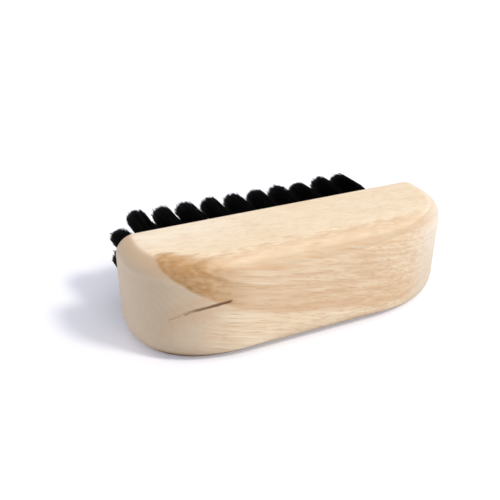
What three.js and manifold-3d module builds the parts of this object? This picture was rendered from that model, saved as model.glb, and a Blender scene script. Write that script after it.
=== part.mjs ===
// Leather cleaning brush: one solid hardwood block with a domed back, and a field of
// black bristle tufts set into blind holes, each held by a flat wire anchor.
// Millimetres, +Z up. The brush lies on one of its flat sides, as it is put down between
// uses: X runs along the block, the bristles point to +Y and the domed back faces -Y.
// The origin is on the ground, under the middle of the whole brush.
import * as THREE from "three";
import { LoftGeometry } from "three/addons/geometries/LoftGeometry.js";
import { mergeVertices } from "three/addons/utils/BufferGeometryUtils.js";
import Module from "manifold-3d";

// Wooden block. Depths are measured from the bristle face towards the domed back.
const blockLength = 125;
const blockWidth = 37.5; // across the two flat sides
const blockHeight = 35.5; // bristle face to the top of the dome
const sideDepth = 18; // flat part of each side
const endDepth = 8; // upright part of each end
const shoulderFullness = 10; // superellipse exponent of the shoulders, higher is squarer
const endFullness = 3.85; // superellipse exponent of the swept ends
const cornerRadius = 7; // upright corners between the sides and the ends
const rimRadius = 1.5; // eased edge round the bristle face

// Bristle field: straight rows. Every second row is moved by half a pitch along the block
// and has one tuft more, so that its tufts stand between those of the rows beside it.
const rowCount = 5;
const columnCount = 10; // tufts in the first row
const firstColumnInset = 14.75; // left end of the block to the first tuft of that row
const lastColumnInset = 21.65; // its last tuft to the right end of the block
const rowInset = 6.75; // flat side to the nearest row

// One tuft in its drilled hole.
const holeDiameter = 5.4;
const holeDepth = 12;
const holeClearance = 0.3; // round the tuft and under its fold
const bristleLength = 25; // bristle face to the tip of a tuft
const columnGap = 1.4; // between the flared tips of neighbours in a row
const tipSpacing = 1.04; // distance to a tuft of the next row, where 1 is tip against tip
const flareHeight = 11; // from the bristle face to the full width of a tuft
const tipHeight = 3.2; // rounded part at the end of a tuft
const foldRadius = 0.8; // rounding of the folded foot

// Flat wire anchor, driven across the fold and biting into the wall of the hole.
const anchorThickness = 0.6;
const anchorDepth = 2;
const anchorBite = 0.6; // into the wood at each end
const anchorLift = 1.2; // from the foot of the fold to the anchor

// Facets of the curved surfaces.
const cornerSteps = 8;
const rimSteps = 3;
const endSteps = 4;
const domeSteps = 12;
const domeSpan = THREE.MathUtils.degToRad(86); // the dome closes with a small flat there
const tipSpan = THREE.MathUtils.degToRad(75); // and so does the tip of a tuft
const tuftSides = 10;
const flareSteps = 3;
const tipSteps = 3;

const columnPitch = (blockLength - firstColumnInset - lastColumnInset) / (columnCount - 1);
const rowPitch = (blockWidth - 2 * rowInset) / (rowCount - 1);
const shankRadius = holeDiameter / 2 - holeClearance;
const tipAlong = (columnPitch - columnGap) / 2; // half sizes of a flared tip
const tipAcross = rowPitch / 2 / Math.sqrt(tipSpacing ** 2 - (columnPitch / 4 / tipAlong) ** 2);
const faceY = (blockHeight - bristleLength) / 2; // centres block and bristles on the origin
const middleZ = blockWidth / 2;

const wood = new THREE.MeshStandardMaterial({ color: 0xe7cbac, roughness: 0.6, metalness: 0 });
const bristle = new THREE.MeshStandardMaterial({ color: 0x14110f, roughness: 0.7, metalness: 0 });

const wasm = await Module();
wasm.setup();

// A closed geometry as a solid that can be joined and cut.
function toSolid(geometry) {
  const bare = new THREE.BufferGeometry();
  bare.setAttribute("position", geometry.getAttribute("position"));
  bare.setIndex(geometry.index);
  const merged = mergeVertices(bare);
  const corners = merged.index.array;
  const kept = [];
  for (let i = 0; i < corners.length; i += 3) {
    const [a, b, c] = corners.slice(i, i + 3);
    if (a !== b && b !== c && c !== a) kept.push(a, b, c);
  }
  const vertProperties = merged.attributes.position.array;
  const triVerts = new Uint32Array(kept);
  return new wasm.Manifold(new wasm.Mesh({ numProp: 3, vertProperties, triVerts }));
}

function toGeometry(solid) {
  const { vertProperties, triVerts } = solid.getMesh();
  const geometry = new THREE.BufferGeometry();
  geometry.setAttribute("position", new THREE.BufferAttribute(vertProperties, 3));
  geometry.setIndex(new THREE.BufferAttribute(triVerts, 1));
  geometry.computeVertexNormals();
  return geometry;
}

// Share of the full half size that is left at a depth, on a superellipse that starts there.
function domeShare(depth, startDepth, fullness) {
  const climb = THREE.MathUtils.clamp((depth - startDepth) / (blockHeight - startDepth), 0, 1);
  return (1 - climb ** 2) ** (1 / fullness);
}

// Rounded rectangle across the block at one depth, drawn in by an inset all round.
function blockSection(depth, inset = 0) {
  const halfLength = (blockLength / 2) * domeShare(depth, endDepth, endFullness) - inset;
  const halfWidth = (blockWidth / 2) * domeShare(depth, sideDepth, shoulderFullness) - inset;
  const radius = Math.min(cornerRadius, halfLength, halfWidth);
  const points = [];
  for (let corner = 0; corner < 4; corner += 1) {
    const towardX = corner === 0 || corner === 3 ? 1 : -1;
    const towardZ = corner < 2 ? 1 : -1;
    for (let step = 0; step <= cornerSteps; step += 1) {
      const angle = (corner + step / cornerSteps) * (Math.PI / 2);
      const x = towardX * (halfLength - radius) + radius * Math.cos(angle);
      const z = towardZ * (halfWidth - radius) + radius * Math.sin(angle);
      points.push(new THREE.Vector3(x, faceY - depth, middleZ + z));
    }
  }
  return points;
}

// Sections from the bristle face over the eased rim and the upright walls to the dome.
function blockSections() {
  const sections = [];
  for (let step = 0; step <= rimSteps; step += 1) {
    const angle = (step / rimSteps) * (Math.PI / 2);
    sections.push(blockSection(rimRadius * (1 - Math.cos(angle)), rimRadius * (1 - Math.sin(angle))));
  }
  for (let step = 0; step < endSteps; step += 1) {
    sections.push(blockSection(THREE.MathUtils.lerp(endDepth, sideDepth, step / endSteps)));
  }
  for (let step = 0; step <= domeSteps; step += 1) {
    const climb = Math.sin((step / domeSteps) * domeSpan);
    sections.push(blockSection(THREE.MathUtils.lerp(sideDepth, blockHeight, climb)));
  }
  return sections;
}

// A flat bar across the hole, centred on the tuft's axis, with room left all round it.
function anchorBar(room) {
  const span = holeDiameter + 2 * anchorBite;
  const bar = new THREE.BoxGeometry(anchorThickness + 2 * room, anchorDepth + 2 * room, span + 2 * room);
  const foot = holeClearance - holeDepth;
  return bar.translate(0, foot + anchorLift + anchorDepth / 2, 0);
}

// The drilled blind hole and the bite of its anchor, opening through the bristle face at y = 0.
function holeCutter() {
  const overshoot = rimRadius;
  const drill = new THREE.CylinderGeometry(
    holeDiameter / 2,
    holeDiameter / 2,
    holeDepth + overshoot,
    tuftSides,
  );
  drill.translate(0, (overshoot - holeDepth) / 2, 0);
  return toSolid(drill).add(toSolid(anchorBar(holeClearance)));
}

// Ellipse across a tuft, by its half sizes along and across the block.
function tuftSection(along, y, across) {
  const points = [];
  for (let side = 0; side < tuftSides; side += 1) {
    const angle = (side / tuftSides) * 2 * Math.PI;
    points.push(new THREE.Vector3(along * Math.sin(angle), y, across * Math.cos(angle)));
  }
  return points;
}

// Folded foot, round shank in the hole, flare close above the face, straight sides and a
// rounded tip. The fold over the anchor parts the bundle, so it flares more along the block.
function tuftSections() {
  const foot = holeClearance - holeDepth;
  const shoulder = bristleLength - tipHeight;
  const footRadius = shankRadius - foldRadius;
  const sections = [
    tuftSection(footRadius, foot, footRadius),
    tuftSection(shankRadius, foot + foldRadius, shankRadius),
  ];
  for (let step = 0; step <= flareSteps; step += 1) {
    const climb = step / flareSteps;
    const swell = Math.sin((climb * Math.PI) / 2);
    const along = THREE.MathUtils.lerp(shankRadius, tipAlong, swell);
    const across = THREE.MathUtils.lerp(shankRadius, tipAcross, swell);
    sections.push(tuftSection(along, climb * flareHeight, across));
  }
  for (let step = 0; step <= tipSteps; step += 1) {
    const angle = (step / tipSteps) * tipSpan;
    const climb = Math.sin(angle) / Math.sin(tipSpan);
    const shrink = Math.cos(angle);
    sections.push(tuftSection(tipAlong * shrink, shoulder + tipHeight * climb, tipAcross * shrink));
  }
  return sections;
}

// Places on the bristle face, row by row from the top, with a node name for each.
function tuftPlaces() {
  const places = [];
  for (let row = 0; row < rowCount; row += 1) {
    const moved = row % 2;
    for (let column = 0; column < columnCount + moved; column += 1) {
      const x = firstColumnInset - blockLength / 2 + (column - moved / 2) * columnPitch;
      const z = blockWidth - rowInset - row * rowPitch;
      const name = `tuft_row${row + 1}_col${String(column + 1).padStart(2, "0")}`;
      places.push({ name, position: new THREE.Vector3(x, faceY, z) });
    }
  }
  return places;
}

function woodenBlock(places) {
  const blank = toSolid(new LoftGeometry(blockSections(), { capStart: true, capEnd: true }));
  const cutter = holeCutter();
  const cutters = places.map(({ position }) => cutter.translate(position.x, position.y, position.z));
  const block = new THREE.Mesh(toGeometry(blank.subtract(wasm.Manifold.union(cutters))), wood);
  block.name = "wooden_block";
  return block;
}

function bristleTufts(places) {
  const bundle = toSolid(new LoftGeometry(tuftSections(), { capStart: true, capEnd: true }));
  const geometry = toGeometry(bundle.add(toSolid(anchorBar(0))));
  return places.map(({ name, position }) => {
    const tuft = new THREE.Mesh(geometry, bristle);
    tuft.name = name;
    tuft.position.copy(position);
    return tuft;
  });
}

const places = tuftPlaces();
const brush = new THREE.Group();
brush.name = "leather_cleaning_brush";
brush.add(woodenBlock(places), ...bristleTufts(places));

export default brush;
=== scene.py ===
import math

import bpy
import numpy as np
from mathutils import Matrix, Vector
from mathutils.geometry import delaunay_2d_cdt


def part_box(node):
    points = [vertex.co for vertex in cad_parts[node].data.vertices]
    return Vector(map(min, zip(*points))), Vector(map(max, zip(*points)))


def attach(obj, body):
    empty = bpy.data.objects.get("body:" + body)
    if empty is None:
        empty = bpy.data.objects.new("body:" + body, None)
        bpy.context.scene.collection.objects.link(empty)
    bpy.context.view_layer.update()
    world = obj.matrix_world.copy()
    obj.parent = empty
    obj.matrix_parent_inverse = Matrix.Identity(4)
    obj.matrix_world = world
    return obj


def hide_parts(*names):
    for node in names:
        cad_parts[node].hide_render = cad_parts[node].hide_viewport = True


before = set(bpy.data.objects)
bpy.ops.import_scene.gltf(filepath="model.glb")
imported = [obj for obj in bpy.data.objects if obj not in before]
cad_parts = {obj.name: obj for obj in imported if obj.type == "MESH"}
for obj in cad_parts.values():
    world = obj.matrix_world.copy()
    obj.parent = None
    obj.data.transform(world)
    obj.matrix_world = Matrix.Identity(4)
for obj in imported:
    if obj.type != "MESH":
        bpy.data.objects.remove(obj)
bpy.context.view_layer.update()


# Wooden block: one piece of pale rubberwood, moulded to a domed back with swept ends,
# drilled with a blind hole for each tuft, then sanded smooth and left without varnish.
# The pith of the tree runs through it at a slant, in cream wood with a tan zone outside it.

MM = 0.001
block_low, block_high = (np.array(corner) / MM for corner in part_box("wooden_block"))
block_length, block_height, block_width = block_high - block_low
block_middle = (block_low + block_high) / 2
face_y = block_high[1]
side_depth = 18.0  # flat part of each side, measured from the bristle face
end_depth = 8.0  # upright part of each end
shoulder_fullness = 10.0  # superellipse exponents, higher is squarer
end_fullness = 3.85
corner_radius = 7.0
rim_radius = 1.5
rim_margin = 0.4  # ring that keeps the bristle face flat up to its eased rim
corner_steps = 12
side_steps = 16
rim_steps = 6
wall_steps = 14
dome_steps = 48
dome_span = math.radians(89)
sharp_angle = math.radians(32)  # edges sharper than this are not shaded smooth

row_count = 5
column_count = 10  # every second row is moved by half a pitch and has one hole more
first_column_inset = 14.75
last_column_inset = 21.65
row_inset = 6.75
column_pitch = (block_length - first_column_inset - last_column_inset) / (column_count - 1)
row_pitch = (block_width - 2 * row_inset) / (row_count - 1)
hole_radius = 2.7
hole_depth = 12.0
hole_chamfer = 0.15
drill_point = 0.8  # depth of the cone that the drill leaves
hole_sides = 24

tuft_names = []
tuft_places = []
for row in range(row_count):
    moved = row % 2
    for column in range(column_count + moved):
        place_x = block_low[0] + first_column_inset + (column - moved / 2) * column_pitch
        place_z = block_high[2] - row_inset - row * row_pitch
        tuft_names.append(f"tuft_row{row + 1}_col{column + 1:02d}")
        tuft_places.append((place_x, place_z))
tuft_places = np.array(tuft_places)


def dome_share(depth, start, fullness):
    """Share of the full half size left at a depth: a superellipse from start to the dome's top."""
    climb = np.clip((depth - start) / (block_height - start), 0, 1)
    return (1 - climb**2) ** (1 / fullness)


def block_rings(depth, inset):
    """Rounded rectangles across the block, one for each depth.

    Each half size is the block's own times its dome share, less the inset. Four quarter
    circles stand in the corners, and straight runs of even steps join them.
    """
    half_length = block_length / 2 * dome_share(depth, end_depth, end_fullness) - inset
    half_width = block_width / 2 * dome_share(depth, side_depth, shoulder_fullness) - inset
    half = np.stack([half_length, half_width], axis=-1)[:, None, None, :]
    radius = np.minimum(corner_radius, half.min(axis=-1, keepdims=True))
    turn = np.linspace(0, np.pi / 2, corner_steps + 1) + np.arange(4)[:, None] * np.pi / 2
    toward = np.array([(1, 1), (-1, 1), (-1, -1), (1, -1)])[None, :, None, :]
    circle = np.stack([np.cos(turn), np.sin(turn)], axis=-1)[None]
    arcs = toward * (half - radius) + radius * circle
    step = (np.arange(1, side_steps) / side_steps)[None, None, :, None]
    runs = arcs[:, :, -1:] * (1 - step) + np.roll(arcs, -1, axis=1)[:, :, :1] * step
    flat = np.concatenate([arcs, runs], axis=2).reshape(len(depth), -1, 2)
    x = flat[..., 0] + block_middle[0]
    y = np.broadcast_to((face_y - depth)[:, None], x.shape)
    z = flat[..., 1] + block_middle[2]
    return np.stack([x, y, z], axis=-1)


def ring_quads(first, ring_count, ring_size, inward=False):
    """Quads between rings of equal size that follow each other in the list of points."""
    start = first + np.arange(ring_count - 1)[:, None] * ring_size
    here = np.arange(ring_size)[None, :]
    after = (here + 1) % ring_size
    corners = [start + here, start + after, start + ring_size + after, start + ring_size + here]
    if inward:
        corners.reverse()
    return np.stack(corners, axis=-1).reshape(-1, 4).tolist()


rim_turn = np.linspace(0, np.pi / 2, rim_steps + 1)
dome_climb = np.sin(np.linspace(0, dome_span, dome_steps + 1))
wall_depths = np.linspace(rim_radius, side_depth, wall_steps + 1)[1:-1]
dome_depths = side_depth + (block_height - side_depth) * dome_climb
ring_depths = np.concatenate([[0], rim_radius * (1 - np.cos(rim_turn)), wall_depths, dome_depths])
ring_insets = np.zeros_like(ring_depths)
ring_insets[0] = rim_radius + rim_margin
ring_insets[1 : rim_steps + 2] = rim_radius * (1 - np.sin(rim_turn))
outside = block_rings(ring_depths, ring_insets)
ring_count, ring_size = outside.shape[:2]
outside_count = ring_count * ring_size

# Each hole: a chamfered mouth, a straight wall and a shallow cone, on rings round its axis.
hole_turn = np.arange(hole_sides) / hole_sides * 2 * np.pi
hole_radii = np.array([hole_radius + hole_chamfer, hole_radius, hole_radius])
hole_levels = face_y - np.array([0, hole_chamfer, hole_depth])
hole_ring = np.stack([np.cos(hole_turn), np.zeros(hole_sides), np.sin(hole_turn)], axis=-1)
hole_rings = hole_ring[None] * hole_radii[:, None, None]
hole_rings[..., 1] = hole_levels[:, None]
hole_bottom = np.array([[0, face_y - hole_depth - drill_point, 0]])
hole_points = np.concatenate([hole_rings.reshape(-1, 3), hole_bottom])
hole_size = len(hole_points)
hole_shift = np.stack([tuft_places[:, 0], np.zeros(len(tuft_places)), tuft_places[:, 1]], axis=-1)
holes = hole_points[None] + hole_shift[:, None, :]

# The bristle face is the flat sheet between the inner ring of the rim and the hole mouths.
sheet_tolerance = 1e-6
hole_starts = outside_count + np.arange(len(tuft_places)) * hole_size
mouth_numbers = hole_starts[:, None] + np.arange(hole_sides)[None, :]
loops = [np.arange(ring_size), *mouth_numbers]
block_points = np.concatenate([outside.reshape(-1, 3), holes.reshape(-1, 3)])
sheet_numbers = np.concatenate(loops)
sheet_flat = block_points[sheet_numbers][:, [0, 2]]
sheet_edges = []
loop_start = 0
for loop in loops:
    here = np.arange(len(loop))
    after = (here + 1) % len(loop)
    sheet_edges += (np.stack([here, after], axis=-1) + loop_start).tolist()
    loop_start += len(loop)
sheet_corners = [Vector(point) for point in sheet_flat]
sheet = delaunay_2d_cdt(sheet_corners, sheet_edges, [], 0, sheet_tolerance)
triangles, own_numbers = sheet[2:4]
sheet_triangles = np.array([[own_numbers[corner][0] for corner in face] for face in triangles])
sheet_middles = sheet_flat[sheet_triangles].mean(axis=1)
hole_distance = np.linalg.norm(sheet_middles[:, None] - tuft_places[None], axis=-1).min(axis=1)
sheet_triangles = sheet_triangles[hole_distance > hole_radius + hole_chamfer]

block_faces = ring_quads(0, ring_count, ring_size)
block_faces.append(list(range(outside_count - ring_size, outside_count)))
block_faces += sheet_numbers[sheet_triangles][:, ::-1].tolist()
for start in hole_starts:
    block_faces += ring_quads(start, len(hole_radii), hole_sides, inward=True)
    last_ring = start + (len(hole_radii) - 1) * hole_sides + np.arange(hole_sides)
    bottom = np.full(hole_sides, start + hole_size - 1)
    block_faces += np.stack([np.roll(last_ring, -1), last_ring, bottom], axis=-1).tolist()


def add_piece(name, points, faces):
    """A mesh object at the origin from points in millimetres and lists of corners."""
    mesh = bpy.data.meshes.new(name)
    mesh.from_pydata((np.asarray(points) * MM).tolist(), [], faces)
    mesh.shade_smooth()
    piece = bpy.data.objects.new(name, mesh)
    bpy.context.scene.collection.objects.link(piece)
    return piece


def linear(colour):
    """An sRGB hex colour as linear red, green, blue and alpha."""
    shares = [int(colour[i : i + 2], 16) / 255 for i in (1, 3, 5)]
    return (*[s / 12.92 if s <= 0.04045 else ((s + 0.055) / 1.055) ** 2.4 for s in shares], 1)


def add_node(tree, kind, inputs, **settings):
    """Adds a node with its settings, and links or sets each named or numbered input."""
    node = tree.nodes.new(kind)
    for name, value in settings.items():
        setattr(node, name, value)
    for name, value in inputs.items():
        if isinstance(value, bpy.types.NodeSocket):
            tree.links.new(value, node.inputs[name])
        else:
            node.inputs[name].default_value = value
    return node


MIX_A, MIX_B, MIX_RESULT = 6, 7, 2  # sockets of a Mix node that mixes colours


def new_material(name):
    """An empty material, with its node tree and its Principled shader."""
    material = bpy.data.materials.new(name)
    material.use_nodes = True
    material.node_tree.nodes.clear()
    shader = material.node_tree.nodes.new("ShaderNodeBsdfPrincipled")
    output = material.node_tree.nodes.new("ShaderNodeOutputMaterial")
    material.node_tree.links.new(shader.outputs["BSDF"], output.inputs["Surface"])
    return material, material.node_tree, shader


# Sanded rubberwood: cream wood round the pith, then a tan zone, drawn out along the fibres.
# The eye sees faint growth rings, fine fibre lines and short open pores, a matt sanded face,
# greyer end grain where the surface cuts across the fibres, and one brown mineral streak.
# Over these lie painted shade on the left end and the upper shoulder, a painted contact shadow
# on the lower shoulder, and painted shade low and a painted highlight high on the right end.
# Threads and pores are drawn about twice as wide as real ones, so that they show.
pith_place = (-0.030, -0.0069, 0.0094)  # a point on the pith, in metres
pith_turn = (0.0, math.radians(9.5), 0.0)  # the pith sinks towards the right
pith_bow = 0.0014  # and bends away from the front, with the square of the way to the right
fibre_turn = (0.0, math.radians(12.5), math.radians(-6))  # the fibres run a little across it
tan_radius = 24.8  # from the pith to the inner edge of the tan zone
late_ring_radius = 29.9  # a dark ring that shows where the tan zone is deepest
ring_spacing = 2.1
cream_wood = linear("#f1debf")
tan_wood = linear("#e8cfac")
fibre_colour = linear("#cfa67e")
pore_colour = linear("#b58a64")
wedge_colour = linear("#c0955f")
late_ring_colour = linear("#a57a4a")
pale_wood = linear("#f8ecd8")
# The left end's tone: greyer end grain, with painted shade over it.
left_end_grain_and_shade = linear("#c3af96")
# The right end's tones: end grain, with painted shade low down and a painted highlight high up.
right_end_grain_low_shade = linear("#d2c8b6")
right_end_grain_highlight = linear("#ece5da")
# Painted shade on the upper shoulder.
shoulder_shade_colour = linear("#c4ab8b")
edge_colour = linear("#b98f63")
# A painted contact shadow on the lower shoulder.
contact_shadow_colour = linear("#4e3417")
streak_colour = linear("#5c3914")

# The surface's place in the block in millimetres, its direction, and the same place seen
# from the pith, once along the pith and once along the fibres.
wood, wood_tree, wood_shader = new_material("sanded_rubberwood")
surface = add_node(wood_tree, "ShaderNodeTexCoord", {}).outputs
place = {0: surface["Object"], "Scale": 1 / MM}
place = add_node(wood_tree, "ShaderNodeVectorMath", place, operation="SCALE").outputs[0]
at = add_node(wood_tree, "ShaderNodeSeparateXYZ", {0: place}).outputs
at_x, at_y, at_z = at["X"], at["Y"], at["Z"]
facing = add_node(wood_tree, "ShaderNodeSeparateXYZ", {0: surface["Normal"]}).outputs
facing_right, facing_up = facing["X"], facing["Z"]
from_pith = {"Vector": surface["Object"], "Location": pith_place, "Scale": (MM, MM, MM)}
log = from_pith | {"Rotation": pith_turn}
log = add_node(wood_tree, "ShaderNodeMapping", log, vector_type="TEXTURE").outputs[0]
grain = from_pith | {"Rotation": fibre_turn}
grain = add_node(wood_tree, "ShaderNodeMapping", grain, vector_type="TEXTURE").outputs[0]


def grain_noise(along, across, detail):
    """Noise from 0 to 1 in the wood, drawn out along the fibres, by its sizes in millimetres."""
    stretch = {"Vector": grain, "Scale": (1 / along, 1 / across, 1 / across)}
    stretched = add_node(wood_tree, "ShaderNodeMapping", stretch).outputs["Vector"]
    noise = {"Vector": stretched, "Scale": 1.0, "Detail": detail}
    return add_node(wood_tree, "ShaderNodeTexNoise", noise).outputs["Fac"]


def uneven(value, noise, size):
    """A length plus a noise about its own middle, which spans a size in millimetres."""
    swing = add_node(wood_tree, "ShaderNodeMath", {0: noise, 1: 0.5}, operation="SUBTRACT").outputs[0]
    moved = {0: swing, 1: size, 2: value}
    return add_node(wood_tree, "ShaderNodeMath", moved, operation="MULTIPLY_ADD").outputs[0]


def zone(*parts):
    """How far the surface lies in a zone of the wood, from 0 to 1: the product of its parts.

    A part is a share, or a value with two limits, which stands for a smooth step from 0 at
    the first limit to 1 at the second, or between two other shares given after the limits.
    """
    product = 1.0
    for part in parts:
        if isinstance(part, tuple):
            value, start, end, *shares = part
            first, last = shares or (0.0, 1.0)
            step = {"Value": value, "From Min": start, "From Max": end, "To Min": first, "To Max": last}
            step = add_node(wood_tree, "ShaderNodeMapRange", step, interpolation_type="SMOOTHSTEP")
            part = step.outputs[0]
        both = {0: product, 1: part}
        product = add_node(wood_tree, "ShaderNodeMath", both, operation="MULTIPLY").outputs[0]
    return product


# The distance from the pith, made uneven by two noises, sets the rings and the tan zone.
waver = grain_noise(along=60, across=16, detail=2)
ragged = grain_noise(along=10, across=1.8, detail=2)
waver_size, ragged_size = 2.4, 1.0
across_log = {0: log, 1: (0, 1, 1)}
across_log = add_node(wood_tree, "ShaderNodeVectorMath", across_log, operation="MULTIPLY").outputs[0]
radius = add_node(wood_tree, "ShaderNodeVectorMath", {0: across_log}, operation="LENGTH")
radius = uneven(uneven(radius.outputs["Value"], waver, waver_size), ragged, ragged_size)
rightward = add_node(wood_tree, "ShaderNodeMath", {0: at_x, 1: 0.0}, operation="MAXIMUM").outputs[0]
bow = add_node(wood_tree, "ShaderNodeMath", {0: rightward, 1: 2.0}, operation="POWER").outputs[0]
radius = {0: bow, 1: pith_bow, 2: radius}
radius = add_node(wood_tree, "ShaderNodeMath", radius, operation="MULTIPLY_ADD").outputs[0]
ring_turn = {0: radius, 1: 2 * math.pi / ring_spacing}
ring_turn = add_node(wood_tree, "ShaderNodeMath", ring_turn, operation="MULTIPLY").outputs[0]
ring_wave = add_node(wood_tree, "ShaderNodeMath", {0: ring_turn}, operation="SINE").outputs[0]
ring_line = zone((ring_wave, 0.0, 1.0))

# The tan zone comes to the surface on the domed front and, past a slanting border, at the
# left shoulder. Its borders run out along the fibres like flames, and one is a darker line.
left_slope, wedge_slope = 0.71, 1.1  # slants of the borders at the left shoulder
front_waver, front_flame, left_flame = 6.0, 14.0, 5.0  # how far the borders stray
front_limits, left_limits = (-19, -23.5), (-47.5, -51)  # where the zone starts and is full
right_limits = (52, 34)
flame = grain_noise(along=10, across=1.5, detail=2)
front_depth = uneven(uneven(at_y, waver, front_waver), flame, front_flame)
left_depth = uneven(at_y, flame, left_flame)
left_slant = {0: at_x, 1: left_slope, 2: left_depth}
left_slant = add_node(wood_tree, "ShaderNodeMath", left_slant, operation="MULTIPLY_ADD").outputs[0]
wedge_slant = {0: at_x, 1: wedge_slope, 2: left_depth}
wedge_slant = add_node(wood_tree, "ShaderNodeMath", wedge_slant, operation="MULTIPLY_ADD").outputs[0]
tan_reach = {0: zone((front_depth, *front_limits)), 1: zone((left_slant, *left_limits))}
tan_reach = add_node(wood_tree, "ShaderNodeMath", tan_reach, operation="MAXIMUM").outputs[0]
tan = zone(tan_reach, (radius, tan_radius - 0.5, tan_radius + 0.5), (at_x, *right_limits))
tan_edge = zone(tan, (radius, tan_radius + 7, tan_radius))
tan_line = zone(tan, (front_depth, -19.5, -22), (front_depth, -26, -22))

# Its left part deepens to a brown wedge, darkest at the tip, with a dark ring of late wood.
wedge_limits, tip_limits = (-56, -76), (-70, -78)
late_ring_limits = (0.8, 0.1)
wedge_reach = zone(tan, (wedge_slant, *wedge_limits))
wedge_tip = zone(tan, (wedge_slant, *tip_limits))
wedge = zone(wedge_reach, (radius, 30, 34, 1.0, 0.4))  # weaker outside that ring
ring_gap = {0: radius, 1: late_ring_radius}
ring_gap = add_node(wood_tree, "ShaderNodeMath", ring_gap, operation="SUBTRACT").outputs[0]
ring_gap = add_node(wood_tree, "ShaderNodeMath", {0: ring_gap}, operation="ABSOLUTE").outputs[0]
late_ring = zone(wedge_reach, (ring_gap, *late_ring_limits))
figure = grain_noise(along=3, across=1.3, detail=2)
pale_figure = zone(wedge, (figure, 0.55, 0.35))
dark_figure = zone(wedge, (figure, 0.5, 0.7))

# Fibres, finer threads and pores show most on the front, less on the planed sides and
# least on the ends, where the sanding has closed the cut fibres.
left_turn, right_turn = (-0.06, -0.4), (0.06, 0.5)  # where the surface turns to each end
left_end = zone((facing_right, *left_turn))
right_end = zone((facing_right, *right_turn))
both_ends = {0: left_end, 1: right_end}
both_ends = add_node(wood_tree, "ShaderNodeMath", both_ends, operation="MAXIMUM").outputs[0]
lengthwise = zone(
    (facing_up, 0.6, 0.95, 1.0, 0.4),
    (facing_up, -0.6, -0.95, 1.0, 0.4),
    (facing_right, *left_turn, 1.0, 0.2),
    (facing_right, *right_turn, 1.0, 0.3),
)
blotches = grain_noise(along=38, across=9, detail=2)
bands = grain_noise(along=45, across=3.2, detail=2)
fibres = grain_noise(along=36, across=1.1, detail=3)
threads = grain_noise(along=13, across=0.5, detail=1)
pores = grain_noise(along=6, across=0.5, detail=1)
blotch = zone((blotches, 0.42, 0.75))
band_line = zone(lengthwise, (bands, 0.45, 0.68))
fibre_line = zone(lengthwise, (fibres, 0.44, 0.7))
pale_line = zone(lengthwise, (fibres, 0.46, 0.3))
thread_line = zone(lengthwise, (threads, 0.5, 0.75))
pore_line = zone(lengthwise, (pores, 0.57, 0.75))

# The upper side is palest towards its left back corner. Painted shade darkens the upper
# shoulder, the edges of the left end are darker, and a painted contact shadow darkens the
# lower shoulder, most of all its left half.
pale_side = zone((at_y, -14, 0), (at_x, 5, -35), (facing_up, 0.6, 0.95))
painted_shoulder_shade = zone((facing_up, 0.1, 0.4), (facing_up, 0.97, 0.8), (facing_right, 0.15, 0.7, 1.0, 0.5))
from_middle = {0: at_z, 1: block_width / 2}
from_middle = add_node(wood_tree, "ShaderNodeMath", from_middle, operation="SUBTRACT").outputs[0]
from_middle = add_node(wood_tree, "ShaderNodeMath", {0: from_middle}, operation="ABSOLUTE").outputs[0]
left_edges = zone(left_end, (from_middle, 13, 18))
painted_contact_shadow = zone(
    (facing_up, -0.3, -0.62),
    (facing_up, -0.97, -0.85),
    (at_x, -15, -38, 0.12, 1.0),
    (at_x, -60, -52),
    (at_x, 60, 40),
)

# The mineral streak is an arc on the front, with a faint stain round it. From its right end
# its height falls evenly, then, with the fifth power of the distance, steeply to its left
# end, where it pales and breaks up.
streak_x, streak_z = -33.5, 23.7
streak_length = 20.0
even_fall, steep_fall, fall_power = 0.205, 3.5, 5.0
streak_depth = -12.0  # it lies in front of this plane
stain_limits, streak_limits = (7, 2), (0.8, 0.3)  # from the arc, where each starts and is full
run = add_node(wood_tree, "ShaderNodeMath", {0: streak_x, 1: at_x}, operation="SUBTRACT").outputs[0]
steep = {0: run, 1: streak_length}
steep = add_node(wood_tree, "ShaderNodeMath", steep, operation="DIVIDE").outputs[0]
steep = add_node(wood_tree, "ShaderNodeMath", {0: steep, 1: 0.0}, operation="MAXIMUM").outputs[0]
steep = add_node(wood_tree, "ShaderNodeMath", {0: steep, 1: fall_power}, operation="POWER").outputs[0]
height = {0: steep, 1: steep_fall, 2: at_z}
height = add_node(wood_tree, "ShaderNodeMath", height, operation="MULTIPLY_ADD").outputs[0]
height = {0: run, 1: even_fall, 2: height}
height = add_node(wood_tree, "ShaderNodeMath", height, operation="MULTIPLY_ADD").outputs[0]
gap = {0: uneven(height, ragged, ragged_size), 1: streak_z}
gap = add_node(wood_tree, "ShaderNodeMath", gap, operation="SUBTRACT").outputs[0]
gap = add_node(wood_tree, "ShaderNodeMath", {0: gap}, operation="ABSOLUTE").outputs[0]
front = zone((at_y, streak_depth + 1.5, streak_depth - 1.5))
stain = zone(front, (gap, *stain_limits), (run, 25, 16), (run, -2, 4))
unbroken = {0: zone((run, 18, 10)), 1: zone((pores, 0.42, 0.6))}
unbroken = add_node(wood_tree, "ShaderNodeMath", unbroken, operation="MAXIMUM").outputs[0]
streak_run = zone((run, streak_length + 1, streak_length - 2), (run, -1.0, 0.5), (run, 29, 4))
streak = zone(front, unbroken, streak_run, (gap, *streak_limits))
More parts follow.
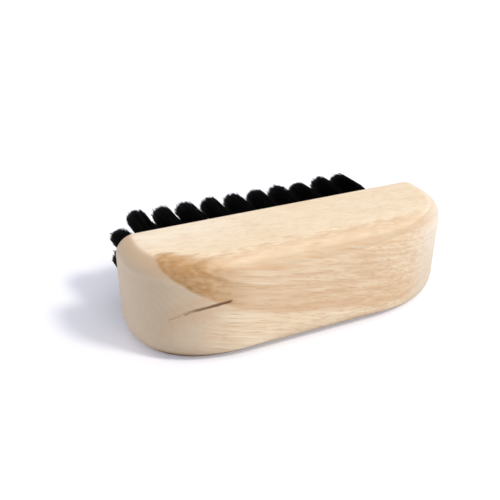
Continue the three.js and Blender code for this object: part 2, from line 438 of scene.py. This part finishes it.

# Each layer lays its colour over those before it, by its zone and its strength there.
# The right end runs from painted shade low down to a painted highlight high up.
right_end_shade_and_highlight_tones = {0: zone((at_z, 8, 34)), MIX_A: right_end_grain_low_shade, MIX_B: right_end_grain_highlight}
right_end_shade_and_highlight = add_node(wood_tree, "ShaderNodeMix", right_end_shade_and_highlight_tones, data_type="RGBA")
layers = (
    (pale_side, 0.55, pale_wood),
    (tan, 0.8, tan_wood),
    (tan_edge, 0.4, fibre_colour),
    (blotch, 0.4, tan_wood),
    # The left end: greyer end grain with painted shade.
    (left_end, 0.62, left_end_grain_and_shade),
    # The right end: end grain, painted shade low down and a painted highlight high up.
    (right_end, 0.65, right_end_shade_and_highlight.outputs[MIX_RESULT]),
    (left_edges, 0.45, edge_colour),
    # Painted shade on the upper shoulder.
    (painted_shoulder_shade, 0.66, shoulder_shade_colour),
    (pale_line, 0.2, pale_wood),
    (wedge, 0.92, wedge_colour),
    (ring_line, 0.05, fibre_colour),
    (zone(ring_line, both_ends), 0.05, fibre_colour),
    (zone(ring_line, tan, lengthwise), 0.22, fibre_colour),
    (pale_figure, 0.35, tan_wood),
    (dark_figure, 0.45, late_ring_colour),
    (tan_line, 0.3, fibre_colour),
    (band_line, 0.26, fibre_colour),
    (wedge_tip, 0.48, late_ring_colour),
    (late_ring, 0.6, late_ring_colour),
    (fibre_line, 0.38, fibre_colour),
    (thread_line, 0.48, fibre_colour),
    (zone(thread_line, wedge), 0.4, late_ring_colour),
    (pore_line, 0.25, pore_colour),
    (stain, 0.3, fibre_colour),
    # A painted contact shadow on the lower shoulder.
    (painted_contact_shadow, 0.9, contact_shadow_colour),
    (streak, 0.85, streak_colour),
)
colour = cream_wood
for layer_zone, strength, layer_colour in layers:
    mix = {0: zone(layer_zone, strength), MIX_A: colour, MIX_B: layer_colour}
    colour = add_node(wood_tree, "ShaderNodeMix", mix, data_type="RGBA").outputs[MIX_RESULT]
wood_tree.links.new(colour, wood_shader.inputs["Base Color"])

# Sanding leaves the fibres a little proud of the open pores and the face matt.
fibre_height, pore_height = 0.6, -0.8  # as shares of the relief
relief_depth = 0.06 * MM
relief = {0: pore_line, 1: pore_height}
relief = add_node(wood_tree, "ShaderNodeMath", relief, operation="MULTIPLY").outputs[0]
relief = {0: fibres, 1: fibre_height, 2: relief}
relief = add_node(wood_tree, "ShaderNodeMath", relief, operation="MULTIPLY_ADD").outputs[0]
bump = {"Strength": 0.35, "Distance": relief_depth, "Height": relief}
bump = add_node(wood_tree, "ShaderNodeBump", bump).outputs["Normal"]
wood_tree.links.new(bump, wood_shader.inputs["Normal"])
matt = add_node(wood_tree, "ShaderNodeMapRange", {"Value": fibres, "To Min": 0.62, "To Max": 0.8})
wood_tree.links.new(matt.outputs[0], wood_shader.inputs["Roughness"])
wood_shader.inputs["IOR"].default_value = 1.5
wood_shader.inputs["Specular IOR Level"].default_value = 0.25

block = add_piece("wooden_block_sanded", block_points, block_faces)
block.data.set_sharp_from_angle(angle=sharp_angle)
block.data.materials.append(wood)
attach(block, "root")
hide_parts("wooden_block")


# Bristle tufts: bundles of stiff black bristle, each folded in half over a flat wire anchor
# that is driven across the bottom of its hole, so that both halves stand out of the face
# side by side, spread a little towards their ends and are trimmed to a rounded tip.

strand_count = 300  # folded strands in a tuft, so twice as many ends
strand_radius = 0.15  # thicker and fewer than real bristle, so that the strands show
strand_sides = 3
strand_crowding = 0.42  # a power below a half sets more strands towards the bundle's outside
bristle_length = 25.0
shank_radius = 2.4
flare_height = 11.0
tip_along = 3.75  # half sizes of the spread bundle
tip_across = 3.48
tip_height = 3.2
tip_fall = 0.96  # the trimmed tip's curve: how far it falls to its edge, and how late
tip_fullness = 1.4
shoulder_level = bristle_length - tip_height
anchor_low = -10.5  # levels are measured from the bristle face
anchor_high = -8.5
anchor_thickness = 0.6
anchor_span = 6.6
leg_steps = np.array([0.04, 0.29, 0.38, 0.48, 0.6, 0.8, 1.0])  # points up one half of a strand
leg_widths = np.array([0.55, 0.6, 0.75, 0.9, 1.0, 1.0, 0.85])  # and its width at each of them
fold_turns = np.radians([60, 120])  # points round the fold
fold_least = 0.15  # depth of the innermost fold under the anchor
fold_slope = 0.4  # and what a fold's half width adds to it

# Each strand and each tuft strays a little, in millimetres.
half_stray = 0.12  # one half of a strand against the other, as a share of the bundle's radius
end_stray, end_low, end_high = 0.55, -1.2, 1.5  # height of a strand's end, and its limits
bend_stray = 0.28
lean_stray = 0.3
trim_stray = 0.2  # height of a whole tuft
disc_easing = 0.25  # how softly stray halves are drawn in to the round of the bundle


def strand_legs(side, along, across, tip_level, bend, lean):
    """Points up one half of each strand, from the anchor to its end.

    A strand keeps its place in the bundle's unit disc. The disc is a circle in the hole and
    swells by a quarter sine wave to its full ellipse, moved off the anchor's faces low down.
    A squared sine wave bends each strand, and the tuft leans with the square of the height.
    """
    level = anchor_low + leg_steps[None, :] * (tip_level[:, None] - anchor_low)
    climb = np.clip(level / shoulder_level, 0, 1)
    swell = np.sin(np.clip(level / flare_height, 0, 1) * np.pi / 2)
    half_along = shank_radius + (tip_along - shank_radius) * swell
    half_across = shank_radius + (tip_across - shank_radius) * swell
    beside_anchor = np.clip(level / anchor_high, 0, 1) * (anchor_thickness / 2 + strand_radius)
    x = side * (np.abs(along[:, None]) * (half_along - beside_anchor) + beside_anchor)
    z = across[:, None] * half_across
    wave = np.sin(climb * np.pi) ** 2
    reach = np.clip(level / bristle_length, 0, None) ** 2
    x = x + bend[0][:, None] * wave + (lean[0] + bend[2][:, None]) * reach
    z = z + bend[1][:, None] * wave + (lean[1] + bend[3][:, None]) * reach
    return np.stack([x, level, z], axis=-1)


def strand_paths(draw, lean, trim):
    """Paths of a tuft's strands: up one side, round under the anchor and up the other.

    The ends lie on a dome, whose height falls with the root of one less a power of the
    distance from the tuft's axis, and each strays from it by a normal draw.
    """
    distance = draw.uniform(0, 1, strand_count) ** strand_crowding
    direction = draw.uniform(-np.pi / 2, np.pi / 2, strand_count)
    along = distance * np.cos(direction)
    across = distance * np.sin(direction)
    legs = []
    for side in (1, -1):
        leg_across = np.clip(across + draw.normal(0, half_stray, strand_count), -1, 1)
        leg_across = leg_across * np.sqrt(np.clip(1 - along**2, 0, 1)) ** disc_easing
        edge = np.clip(along**2 + leg_across**2, 0, 1)
        tip_level = shoulder_level + tip_height * np.sqrt(1 - tip_fall * edge**tip_fullness) + trim
        tip_level = tip_level + np.clip(draw.normal(0, end_stray, strand_count), end_low, end_high)
        bend = draw.normal(0, bend_stray, (4, strand_count))
        legs.append(strand_legs(side, along, leg_across, tip_level, bend, lean))
    foot_x = (legs[0][:, :1, 0] - legs[1][:, :1, 0]) / 2
    foot_z = (legs[0][:, :1, 2] + legs[1][:, :1, 2]) / 2
    fold_depth = fold_least + fold_slope * foot_x
    fold_x = foot_x * np.cos(fold_turns)
    fold_y = anchor_low - fold_depth * np.sin(fold_turns)
    fold_z = np.broadcast_to(foot_z, fold_x.shape)
    fold = np.stack([fold_x, fold_y, fold_z], axis=-1)
    return np.concatenate([legs[0][:, ::-1], fold, legs[1]], axis=1)


def strand_tubes(paths):
    """Points and faces of closed three-sided tubes round the paths, thinner in the hole."""
    count, rings = paths.shape[:2]
    tangent = np.gradient(paths, axis=1)
    tangent /= np.linalg.norm(tangent, axis=-1, keepdims=True)
    beside = np.cross(tangent, np.array([0.0, 0.0, 1.0]))
    beside /= np.linalg.norm(beside, axis=-1, keepdims=True)
    above = np.cross(beside, tangent)
    turn = np.arange(strand_sides) / strand_sides * 2 * np.pi
    circle = beside[:, :, None] * np.cos(turn)[:, None] + above[:, :, None] * np.sin(turn)[:, None]
    fold_widths = np.full(len(fold_turns), leg_widths[0])
    widths = np.concatenate([leg_widths[::-1], fold_widths, leg_widths]) * strand_radius
    points = paths[:, :, None] + circle * widths[None, :, None, None]
    ring = np.arange(rings - 1)[:, None] * strand_sides
    next_ring = ring + strand_sides
    here = np.arange(strand_sides)[None]
    after = (here + 1) % strand_sides
    quads = np.stack([ring + here, next_ring + here, next_ring + after, ring + after], axis=-1)
    start = (np.arange(count) * rings * strand_sides)[:, None, None]
    faces = (quads.reshape(1, -1, 4) + start).reshape(-1, 4).tolist()
    first_end = np.arange(strand_sides)[None] + start[:, 0]
    last_end = first_end + (rings - 1) * strand_sides
    faces += first_end.tolist() + last_end[:, ::-1].tolist()
    return points.reshape(-1, 3), faces


anchor_half = np.array([anchor_thickness / 2, (anchor_high - anchor_low) / 2, anchor_span / 2])
anchor_corners = np.array([(x, y, z) for x in (-1, 1) for y in (-1, 1) for z in (-1, 1)])
anchor_points = anchor_corners * anchor_half + np.array([0, (anchor_low + anchor_high) / 2, 0])
anchor_faces = [[0, 1, 3, 2], [4, 6, 7, 5], [0, 4, 5, 1], [2, 3, 7, 6], [0, 2, 6, 4], [1, 5, 7, 3]]

# Black bristle: stiff hair with the faintest dull gloss. Each strand has its own tone between
# black and the darkest brown, and a paler cut end. The strand's own map carries the tone in
# its first number and, in its second, the way from the fold at 0 to either end at 1.
darkest_strand = linear("#020202")
palest_strand = linear("#070605")
cut_end = linear("#2b2624")
bristle, bristle_tree, bristle_shader = new_material("black_bristle")
strand_map = add_node(bristle_tree, "ShaderNodeUVMap", {}, uv_map="strand").outputs["UV"]
strand_way = add_node(bristle_tree, "ShaderNodeSeparateXYZ", {0: strand_map}).outputs
tone = {0: strand_way["X"], MIX_A: darkest_strand, MIX_B: palest_strand}
tone = add_node(bristle_tree, "ShaderNodeMix", tone, data_type="RGBA").outputs[MIX_RESULT]
end_share = {"Value": strand_way["Y"], "From Min": 0.95, "From Max": 1.0, "To Max": 0.9}
end_share = add_node(bristle_tree, "ShaderNodeMapRange", end_share, interpolation_type="SMOOTHSTEP")
ends = {0: end_share.outputs[0], MIX_A: tone, MIX_B: cut_end}
ends = add_node(bristle_tree, "ShaderNodeMix", ends, data_type="RGBA").outputs[MIX_RESULT]
bristle_tree.links.new(ends, bristle_shader.inputs["Base Color"])
bristle_shader.inputs["Roughness"].default_value = 0.5
bristle_shader.inputs["Specular IOR Level"].default_value = 0.012

# Galvanised wire: flat, rolled, with a dull grey zinc bloom.
wire, _, wire_shader = new_material("galvanised_wire")
wire_shader.inputs["Base Color"].default_value = linear("#a9abad")
wire_shader.inputs["Metallic"].default_value = 1.0
wire_shader.inputs["Roughness"].default_value = 0.42

first_seed = 700
tuft_nap = np.array([-0.7, 0.3])  # all tufts are brushed a little to one side
end_leans = {  # the outermost tufts have been pushed about more
    "tuft_row2_col01": (-2.0, -0.2),
    "tuft_row4_col01": (-2.35, 2.7),
    "tuft_row2_col11": (0.9, 0.0),
    "tuft_row4_col11": (1.4, 0.5),
}
for number, (name, (place_x, place_z)) in enumerate(zip(tuft_names, tuft_places)):
    draw = np.random.default_rng(first_seed + number)
    lean = tuft_nap + draw.normal(0, lean_stray, 2) + np.array(end_leans.get(name, (0.0, 0.0)))
    trim = draw.normal(0, trim_stray)
    paths = strand_paths(draw, lean, trim)
    tube_points, tube_faces = strand_tubes(paths)
    tuft_points = np.concatenate([tube_points, anchor_points]) + np.array([place_x, face_y, place_z])
    tuft_faces = tube_faces + [[corner + len(tube_points) for corner in face] for face in anchor_faces]
    tuft = add_piece(f"{name}_bristles", tuft_points, tuft_faces)
    mesh = tuft.data
    rings = paths.shape[1]
    way = np.abs(np.linspace(-1, 1, rings))
    tones = draw.uniform(0, 1, strand_count)
    map_points = np.zeros((len(tuft_points), 2))
    map_points[: len(tube_points), 0] = np.repeat(tones, rings * strand_sides)
    map_points[: len(tube_points), 1] = np.tile(np.repeat(way, strand_sides), strand_count)
    corners = np.zeros(len(mesh.loops), dtype=np.int32)
    mesh.loops.foreach_get("vertex_index", corners)
    mesh.uv_layers.new(name="strand").data.foreach_set("uv", map_points[corners].ravel())
    mesh.materials.append(bristle)
    mesh.materials.append(wire)
    slots = np.zeros(len(mesh.polygons), dtype=np.int32)
    slots[len(tube_faces) :] = 1
    mesh.polygons.foreach_set("material_index", slots)
    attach(tuft, "root")
    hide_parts(name)


# Studio: a plain white floor under the brush, white all round it, one soft key light from
# the right in front, a slightly cool fill that is brighter on that side, and the cool light
# of a white card that stands behind on the left.

floor_half = 4.0  # metres
floor_mesh = bpy.data.meshes.new("floor")
floor_corners = np.array([(-1, -1, 0), (1, -1, 0), (1, 1, 0), (-1, 1, 0)]) * floor_half
floor_mesh.from_pydata(floor_corners.tolist(), [], [[0, 1, 2, 3]])
floor = bpy.data.objects.new("floor", floor_mesh)
bpy.context.scene.collection.objects.link(floor)
floor_paint = bpy.data.materials.new("white_studio_floor")
floor_paint.use_nodes = True
floor_mesh.materials.append(floor_paint)


def seen_rays(tree):
    """1 for rays from the camera, straight or by way of gloss or glass, and otherwise 0."""
    rays = add_node(tree, "ShaderNodeLightPath", {}).outputs
    gloss = {0: rays["Is Glossy Ray"], 1: rays["Is Transmission Ray"]}
    gloss = add_node(tree, "ShaderNodeMath", gloss, operation="MAXIMUM").outputs[0]
    seen = {0: rays["Is Camera Ray"], 1: gloss}
    return add_node(tree, "ShaderNodeMath", seen, operation="MAXIMUM").outputs[0]


# The floor is white to the camera, with a soft shadow, and sends less light back to the brush.
glow_share, glow_strength = 0.1, 1.65
floor_tree = floor_paint.node_tree
floor_tree.nodes.clear()
bounce = add_node(floor_tree, "ShaderNodeBsdfDiffuse", {"Color": linear("#b8b8ba")}).outputs[0]
paper = add_node(floor_tree, "ShaderNodeBsdfDiffuse", {"Color": linear("#fbfbfc")}).outputs[0]
glow = {"Color": linear("#f4f1ff"), "Strength": glow_strength}
glow = add_node(floor_tree, "ShaderNodeEmission", glow).outputs[0]
shown = add_node(floor_tree, "ShaderNodeMixShader", {0: glow_share, 1: paper, 2: glow}).outputs[0]
sides = {0: seen_rays(floor_tree), 1: bounce, 2: shown}
sides = add_node(floor_tree, "ShaderNodeMixShader", sides).outputs[0]
add_node(floor_tree, "ShaderNodeOutputMaterial", {"Surface": sides})

# The camera sees plain white all round, and the brush gets the fill.
fill_level = 0.77
fill_slope = 0.66  # how much brighter the fill is towards its bright side, and dimmer opposite
bright_side = Vector((0.5, -0.85, 0.0)).normalized()
world = bpy.data.worlds.new("studio")
bpy.context.scene.world = world
world.use_nodes = True
world_tree = world.node_tree
world_tree.nodes.clear()
sky_way = add_node(world_tree, "ShaderNodeTexCoord", {}).outputs["Generated"]
toward = {0: sky_way, 1: bright_side}
toward = add_node(world_tree, "ShaderNodeVectorMath", toward, operation="DOT_PRODUCT").outputs["Value"]
level = {0: toward, 1: fill_slope, 2: fill_level}
level = add_node(world_tree, "ShaderNodeMath", level, operation="MULTIPLY_ADD").outputs[0]
fill = {"Color": linear("#f3f5ff"), "Strength": level}
fill = add_node(world_tree, "ShaderNodeBackground", fill).outputs[0]
white = {"Color": linear("#ffffff"), "Strength": 1.0}
white = add_node(world_tree, "ShaderNodeBackground", white).outputs[0]
sky = {0: seen_rays(world_tree), 1: fill, 2: white}
sky = add_node(world_tree, "ShaderNodeMixShader", sky).outputs[0]
add_node(world_tree, "ShaderNodeOutputWorld", {"Surface": sky})


def add_sun(name, energy, spread, colour, toward):
    """A lamp far off in one direction, whose spread in degrees makes its shadows soft."""
    light = bpy.data.lights.new(name, "SUN")
    light.energy = energy
    light.angle = math.radians(spread)
    light.color = linear(colour)[:3]
    lamp = bpy.data.objects.new(name, light)
    lamp.rotation_mode = "QUATERNION"
    lamp.rotation_quaternion = Vector(toward).to_track_quat("Z", "Y")
    bpy.context.scene.collection.objects.link(lamp)


add_sun("key_light", energy=1.56, spread=11, colour="#fffaf2", toward=(0.485, -0.475, 0.745))
add_sun("side_card", energy=2.3, spread=14, colour="#dfe7ff", toward=(-0.766, 0.643, 0.03))

# The camera looks down on the domed back from the left in front.
lens = bpy.data.cameras.new("camera")
lens.sensor_width = 36
lens.lens = 48.33
lens.clip_start = 0.01
camera = bpy.data.objects.new("camera", lens)
camera.location = (-0.10332, -0.19897, 0.14179)
look_turn = math.radians(-24.225)
look_tilt = math.radians(28.400)
back_x = math.sin(look_turn) * math.cos(look_tilt)
back_y = -math.cos(look_turn) * math.cos(look_tilt)
back_z = math.sin(look_tilt)
camera.rotation_mode = "QUATERNION"
camera.rotation_quaternion = Vector((-back_x, -back_y, -back_z)).to_track_quat("-Z", "Y")
bpy.context.scene.collection.objects.link(camera)
bpy.context.scene.camera = camera
bpy.context.scene.view_settings.view_transform = "Standard"
